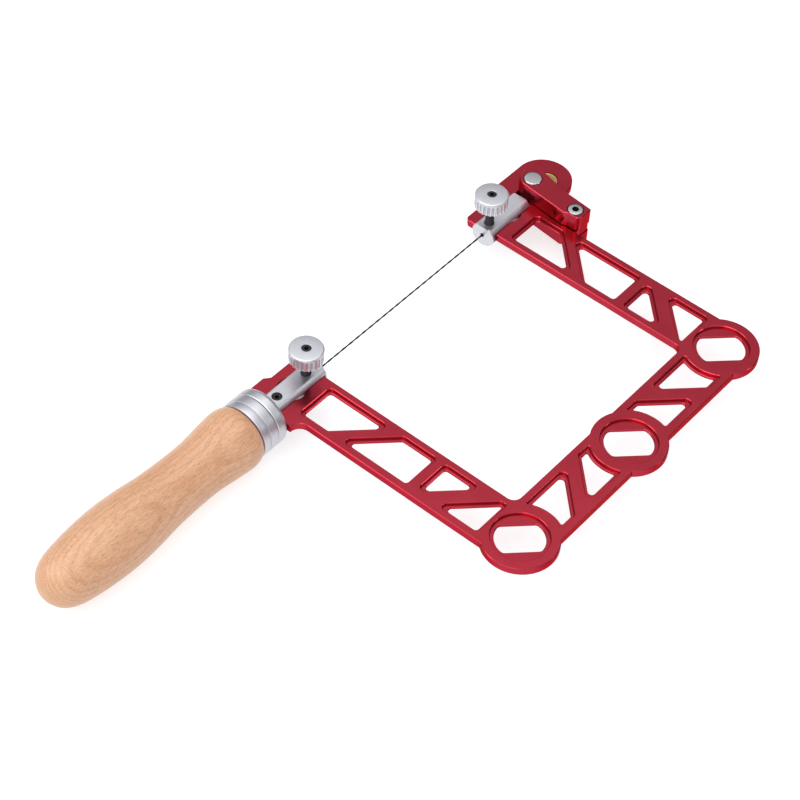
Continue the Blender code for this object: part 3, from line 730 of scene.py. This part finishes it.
# ------------------------------------------------------------------ thumbscrews
def threaded(name, spot, r, start, end, pitch, depth, fade=0.0, nip=0.0):
    """Screw shank with a real helical thread.

    spot turns a length along the screw and two across it into a point. The thread fades
    out at both ends over a length, and the end rings are smaller by the nip.
    """
    steps = 28
    rows_per_turn = 6
    count = int((end - start) / pitch * rows_per_turn)
    rows = []
    for i in range(count + 1):
        along = start + (end - start) * i / count
        full = 1.0
        if fade > 0.0:
            full = max(0.0, min(1.0, (along - start) / fade, (end - along) / fade))
        row = []
        for k in range(steps):
            phase = (along / pitch - k / steps) % 1.0
            rr = r - depth * abs(2 * phase - 1.0) * full - (nip if i in (0, count) else 0.0)
            a = 2 * math.pi * k / steps
            row.append(spot(along, rr * math.cos(a), rr * math.sin(a)))
        rows.append(row)
    bm = bmesh.new()
    skin(bm, rows)
    return solid(bm, name)


def knurled(name, axis_x, top):
    """Knob with a plain chamfered rim above U-shaped flutes."""
    low = top - KNOB_H
    bore = 2.08
    profile = [(bore, low), (KNOB_R - 0.7, low), (KNOB_R - 0.1, low + 0.5),
               (KNOB_R - 0.1, top - 1.4), (KNOB_R, top - 1.25), (KNOB_R, top - 0.7),
               (KNOB_R - 0.25, top - 0.28), (KNOB_R - 0.7, top), (bore + 0.12, top),
               (bore, top - 0.12)]
    knob = lathe(name, list(reversed(profile)), (axis_x, BLADE_Y, 0.0), "Z", 150)
    bm = bmesh.new()
    for i in range(FLUTES):
        a = math.radians(360.0 * (i + 0.5) / FLUTES)
        centre = place(axis_x + (KNOB_R - 0.02) * math.cos(a),
                       BLADE_Y + (KNOB_R - 0.02) * math.sin(a), 0.0)
        rows = []
        levels = [(-1.0, 1.0), (4.95, 1.0), (5.3, 0.86), (5.52, 0.6), (5.62, 0.25)]
        for h, s in levels:
            row = []
            for k in range(FLUTE_SIDES):
                b = 2 * math.pi * k / FLUTE_SIDES
                depth = FLUTE_DEPTH * s * math.cos(b)
                width = FLUTE_R * s * math.sin(b)
                row.append(centre + Vector((
                    depth * math.cos(a) - width * math.sin(a),
                    depth * math.sin(a) + width * math.cos(a), low + h)) * MM)
            rows.append(row)
        skin(bm, rows)
    return cut(knob, solid(bm, "flutes"))


BLACK = dark_steel("black_oxide_steel", OXIDE_BLACK, 0.42)


def thumbscrew(side, axis_x, top):
    """Clamping screw with its knob and blade pad; top is the height of the knob's face."""
    centre = place(axis_x, BLADE_Y, 0.0)
    screw = threaded(side + "_stem", lambda z, x, y: place(axis_x + x, BLADE_Y + y, z),
                     SCREW_R, 2.25, top - 0.15, SCREW_PITCH, SCREW_THREAD, 0.6, 0.22)
    screw = cut(screw, sheet_metal("socket", [hexagon(SOCKET_FLATS, axis_x, BLADE_Y)],
                                   top - 2.3, top + 1.0))
    dress(screw, BLACK, side + "_knob", (side + "_clamp_screw",))
    knob = knurled(side + "_thumb_knob", axis_x, top)
    dress(knob, aluminium(side + "_knob_aluminium", "rings", centre, 0.3), side + "_knob",
          (side + "_knob",))
    pad = lathe(side + "_pad", [(0.0, 1.95), (1.5, 1.95), (1.7, 1.75), (1.7, 0.95),
                                (1.5, 0.75), (0.0, 0.75)], (axis_x, BLADE_Y, 0.0))
    dress(pad, brass(side + "_pad_brass"), side + "_pad",
          (side + "_blade_pad",))


thumbscrew("near", *NEAR_KNOB)
thumbscrew("far", *FAR_KNOB)

lock = lathe("lock_grub", [(0.0, 4.2), (1.75, 4.2), (2.0, 3.95), (2.0, -3.2), (1.7, -3.5),
                           (0.0, -3.5)], (LOCK_X, BLADE_Y, 0.0))
lock = cut(lock, sheet_metal("socket", [hexagon(SOCKET_FLATS, LOCK_X, BLADE_Y)], 2.2, BEYOND))
dress(lock, BLACK, "root", ("near_lock_screw",))


# ------------------------------------------------------------------ spiral blade
def spiral_blade():
    """Flat wire twisted along its length, with teeth bitten into its two narrow edges."""
    rows_per_mm = 5
    sides = 12
    half_width, half_thick = BLADE_HALF
    count = int((BLADE_END - BLADE_START) * rows_per_mm)
    rows = []
    for i in range(count + 1):
        x = BLADE_START + (BLADE_END - BLADE_START) * i / count
        twist = 2 * math.pi * x / TWIST_PITCH
        bite = TOOTH_BITE if i % 2 else 0.0
        row = []
        for k in range(sides):
            a = 2 * math.pi * k / sides
            r = 1 / math.hypot(math.cos(a) / half_width, math.sin(a) / half_thick)
            r -= bite * abs(math.cos(a)) ** 8
            row.append(place(x, BLADE_Y + r * math.cos(a + twist), r * math.sin(a + twist)))
        rows.append(row)
    bm = bmesh.new()
    skin(bm, rows)
    return solid(bm, "blade_wire")


dress(spiral_blade(), dark_steel("blade_dark_steel", BLADE_BLACK, 0.5), "root",
      ("spiral_blade",), 50.0)


# ------------------------------------------------------------------ cam lever
def lever_loop():
    """Outline of both lever cheeks: round head on the pin, blunt thumb end."""
    head = arc(147.3, BLADE_Y, 6.5, 8, 176, 32)
    foot = [(*head[-1], 0.0), (138.4, 83.0, 1.4), (139.3, 81.2, 1.4),
            (139.3, LEVER_END, 2.4), (148.2, LEVER_END, 0.8), (149.6, 90.0, 8.0),
            (*head[0], 0.0)]
    return head + filleted(foot, 6)[1:-1]


PIN_AT = (PIN_X, BLADE_Y, 0.0)
SCREW_AT = (*LEVER_SCREW, 0.0)
top = sheet_metal("lever_upper", [lever_loop()], *CHEEK)
top = cut(top, bar("pin_hole", PIN_HOLE_R, 0.0, 12.0, PIN_AT))
top = cut(top, bar("pin_sink", PIN_SINK_R, 6.9, 12.0, PIN_AT, steps=64))
top = cut(top, bar("screw_hole", SCREW_HOLE_R, 0.0, 12.0, SCREW_AT))
top = cut(top, bar("screw_sink", CAP_SINK_R, 7.2, 12.0, SCREW_AT, steps=64))
dimple_at = (0.0, 85.5, sum(CHEEK) / 2)
top = cut(top, bar("dimple", DIMPLE_R, 130.0, 140.4, dimple_at, "X", 64))
top = chamfered(top, [(lever_loop(), 1, CHEEK[1], 1, EDGE),
                      (lever_loop(), 1, CHEEK[0], -1, LEDGE_EDGE)])
dress(top, RED, "lever", ("lever_top",))

base = sheet_metal("lever_lower", [lever_loop()], -CHEEK[1], -CHEEK[0])
web_x, web_y = (139.6, 147.8), (LEVER_END + 0.35, 82.6)
web = sheet_metal("web", [filleted([
    (web_x[0], web_y[0], 2.1), (web_x[1], web_y[0], 0.5), (web_x[1], web_y[1], 1.0),
    (web_x[0], web_y[1], 1.0)], 4)], -CHEEK[0] - 1.5, HALF)
base = cut(base, web, "UNION")
base = cut(base, bar("pin_hole", PIN_HOLE_R, -12.0, 0.0, PIN_AT))
base = cut(base, bar("pin_sink", PIN_SINK_R, -12.0, -6.9, PIN_AT, steps=64))
base = cut(base, bar("screw_hole", SCREW_HOLE_R, -7.5, 5.0, SCREW_AT))
base = chamfered(base, [(lever_loop(), 1, -CHEEK[1], -1, EDGE)])
dress(base, RED, "lever", ("lever_base",))


link = threaded("tension_link", lambda x, y, z: place(x, BLADE_Y + y, z),
                STUD_R, 125.0, 138.4, STUD_PITCH, STUD_THREAD)
eye = sheet_metal("eye", [[(137.6, BLADE_Y - 2.3)] + arc(PIN_X, BLADE_Y, EYE_R, -147, 147, 32)
                          + [(137.6, BLADE_Y + 2.3)]], -HALF, HALF)
link = cut(link, eye, "UNION")
link = cut(link, bar("bore", PIN_HOLE_R, -5.0, 5.0, PIN_AT))
dress(link, dark_steel("link_dark_steel", LINK_GREY, 0.34), "far_rod",
      ("tension_stud",))


def steel(name, centre):
    """Turned bright steel: rings about a centre."""
    return aluminium(name, "rings", centre, 0.7, STEEL_GREY, 0.26, 0.4)


screw = lathe("lever_cap_screw", [
    (0.0, 10.25), (2.9, 10.25), (3.25, 10.15), (3.45, 9.9), (3.5, 9.6), (3.5, 7.5),
    (2.0, 7.5), (2.0, -7.0), (1.7, -7.2), (0.0, -7.2)], SCREW_AT)
screw = cut(screw, sheet_metal("socket", [hexagon(CAP_SOCKET_FLATS, *LEVER_SCREW)], 7.9, 12.0))
dress(screw, steel("cap_screw_steel", place(*SCREW_AT)), "lever",
      ("lever_screw",))
# Painted shade: the walls and floor of the hex socket get the black oxide material, so the hollow
# in the bright steel screw looks as dark as the shade inside it.
screw.data.materials.append(BLACK)
socket_top = place(*LEVER_SCREW, 10.1)
for face in screw.data.polygons:
    away = (face.center - socket_top).xy.length
    if away < 1.8 * MM and place(0.0, 0.0, 7.7).z < face.center.z < socket_top.z:
        face.material_index = 1

pin_centre = place(*PIN_AT)
pin = lathe("pivot_pin", [(0.0, 10.35), (3.4, 10.35), (3.75, 10.25), (4.0, 9.95),
                          (4.0, 7.2), (2.3, 7.2), (2.3, -9.3), (0.0, -9.3)], PIN_AT)
dress(pin, steel("pin_steel", pin_centre), "lever", ("cam_pin",))
collar = lathe("pivot_collar", [(PIN_HOLE_R, -9.9), (PIN_HOLE_R, -7.2), (3.7, -7.2),
                                (4.0, -7.5), (4.0, -9.6), (3.7, -9.9)], PIN_AT)
dress(collar, steel("collar_steel", pin_centre), "lever", ("pin_collar",))


# ------------------------------------------------------------------ ferrule and handle
ring_mat = aluminium("ferrule_aluminium", "X", ORIGIN, 0.26, FERRULE_GREY, 0.40)
front = lathe("ferrule_ring", [
    (6.1, -30.5), (11.5, -30.5), (12.1, -30.75), (12.6, -31.3), (12.85, -32.0),
    (FERRULE_R, -32.4), (FERRULE_R, -35.2), (12.75, -35.6), (12.5, -35.8), (6.1, -35.8)],
    (0.0, BLADE_Y, 0.0), "X", ROUND)
dress(front, ring_mat, "root", ("ferrule_front",))
tube_profile = [(11.2, -36.1), (12.5, -36.1), (12.75, -36.2), (FERRULE_R, -36.5),
                (FERRULE_R, -40.1), (12.75, -40.4), (12.4, -40.6), (12.4, -40.9),
                (12.75, -41.1), (FERRULE_R, -41.4), (FERRULE_R, -43.9), (12.7, -44.3),
                (12.3, -44.5), (11.2, -44.5)]
sleeve = lathe("ferrule_tube", tube_profile, (0.0, BLADE_Y, 0.0), "X", ROUND)
dress(sleeve, ring_mat, "root", ("ferrule_sleeve",))

# Handle radius at distances behind the ferrule.
STATIONS = ((0.0, 12.3), (1.0, 13.2), (5.2, 14.1), (12.5, 13.6), (24.0, 12.4),
            (35.0, 12.3), (48.0, 12.8), (61.0, 14.1), (73.5, 14.7), (86.0, 14.1),
            (96.0, 12.9), (102.5, 11.3), (107.0, 8.6), (109.7, 5.0))


def smooth_profile(points, per_span):
    """Catmull-Rom curve through the handle stations."""
    result = []
    count = len(points)
    for i in range(count - 1):
        p0 = Vector(points[max(0, i - 1)])
        p1, p2 = Vector(points[i]), Vector(points[i + 1])
        p3 = Vector(points[min(count - 1, i + 2)])
        for k in range(per_span):
            t = k / per_span
            q = 0.5 * (2 * p1 + (p2 - p0) * t + (2 * p0 - 5 * p1 + 4 * p2 - p3) * t * t
                       + (3 * p1 - p0 - 3 * p2 + p3) * t * t * t)
            result.append((q.x, q.y))
    return result + [points[-1]]


outer = [(6.1, -36.4), (10.9, -36.4), (10.9, -44.8)]
outer += [(r, -44.8 - behind) for behind, r in smooth_profile(STATIONS, 8)]
outer += [(3.9, -154.95), (2.7, -155.2), (1.4, -155.36), (0.0, -155.4)]
bore = [(0.0, -97.0), (3.4, -97.0), (3.4, -64.0), (4.6, -64.0), (4.6, -39.6), (6.1, -39.6)]
handle = lathe("wood_grip", bore + outer, (0.0, BLADE_Y, 0.0), "X", ROUND)
dress(handle, beech("beech_lacquered", place(-100.0, BLADE_Y, 0.0)), "root",
      ("handle",), 40.0)

# ------------------------------------------------------------------ pieces kept from CAD
INNER = {"handle_tang": steel("tang_steel", pin_centre),
         "tang_dowel": steel("dowel_steel", pin_centre),
         "handle_insert": brass("insert_brass")}
for node_name, mat in INNER.items():
    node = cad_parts[node_name]
    node.data.materials.clear()
    node.data.materials.append(mat)

# ------------------------------------------------------------------ floor, light, camera
bm = bmesh.new()
bmesh.ops.create_grid(bm, x_segments=2, y_segments=2, size=3.0)
mesh = bpy.data.meshes.new("floor")
bm.to_mesh(mesh)
bm.free()
floor = keep(mesh, "floor")
floor.location.z = -0.0006
floor_mat, _, _, f_shader = tree("floor_white", 0.0)
f_shader.inputs["Base Color"].default_value = (*FLOOR_WHITE, 1.0)
f_shader.inputs["Roughness"].default_value = 0.9
f_shader.inputs["Emission Color"].default_value = (*WHITE, 1.0)
f_shader.inputs["Emission Strength"].default_value = 0.68
floor.data.materials.append(floor_mat)

bpy.context.scene.view_settings.view_transform = "Standard"
world = bpy.data.worlds.new("studio")
bpy.context.scene.world = world
world.use_nodes = True
w_nodes, w_links = world.node_tree.nodes, world.node_tree.links
# A light tent: bright overhead and on the left, dim towards the horizon.
sky = w_nodes.new("ShaderNodeTexCoord")
facing = w_nodes.new("ShaderNodeVectorMath")
facing.operation = "DOT_PRODUCT"
facing.inputs[1].default_value = (-0.32, 0.02, 0.94)
w_links.new(sky.outputs["Generated"], facing.inputs[0])
tent = ramp(w_nodes, w_links, unit_range(w_nodes, w_links, facing.outputs["Value"]),
            ((0.0, (0.08, 0.08, 0.09)), (0.50, (0.11, 0.11, 0.12)),
             (0.62, (0.22, 0.22, 0.23)), (0.70, (0.60, 0.60, 0.62)),
             (0.76, (0.86, 0.86, 0.88)), (0.87, (1.25, 1.25, 1.27)),
             (1.0, (1.40, 1.40, 1.41))))
w_links.new(tent, w_nodes["Background"].inputs["Color"])
w_nodes["Background"].inputs["Strength"].default_value = 1.0


def softbox(name, location, size, power):
    """Rectangular lamp aimed at the part."""
    data = bpy.data.lights.new(name, "AREA")
    data.shape = "RECTANGLE"
    data.size, data.size_y = size
    data.energy = power
    obj = bpy.data.objects.new(name, data)
    bpy.context.scene.collection.objects.link(obj)
    obj.location = location
    obj.rotation_euler = (-Vector(location)).to_track_quat("-Z", "Y").to_euler()


softbox("key", (-0.85, -0.15, 1.05), (0.9, 0.5), 3.4)
softbox("side", (-0.8, 0.75, 0.7), (0.7, 0.4), 2.0)
softbox("top", (0.1, 0.1, 1.3), (1.2, 1.2), 4.0)
softbox("edge", (0.55, -0.80, 0.46), (0.20, 0.14), 0.5)

AZIMUTH = math.radians(-52.767)
ELEVATION = math.radians(48.143)
ROLL = math.radians(3.858)
STAND = Vector((-0.51031, -0.36664, 0.73717))
LENS = 106.02
back = Vector((math.sin(AZIMUTH) * math.cos(ELEVATION),
               -math.cos(AZIMUTH) * math.cos(ELEVATION), math.sin(ELEVATION)))
side = Vector((math.cos(AZIMUTH), math.sin(AZIMUTH), 0.0))
above = back.cross(side)
right = side * math.cos(ROLL) + above * math.sin(ROLL)
upward = above * math.cos(ROLL) - side * math.sin(ROLL)
camera = bpy.data.objects.new("camera", bpy.data.cameras.new("camera"))
bpy.context.scene.collection.objects.link(camera)
camera.data.sensor_width = 36.0
camera.data.lens = LENS
camera.data.clip_start = 0.05
camera.data.clip_end = 20.0
turn = Matrix((right, upward, back)).transposed()
camera.matrix_world = Matrix.Translation(STAND) @ turn.to_4x4()
bpy.context.scene.camera = camera
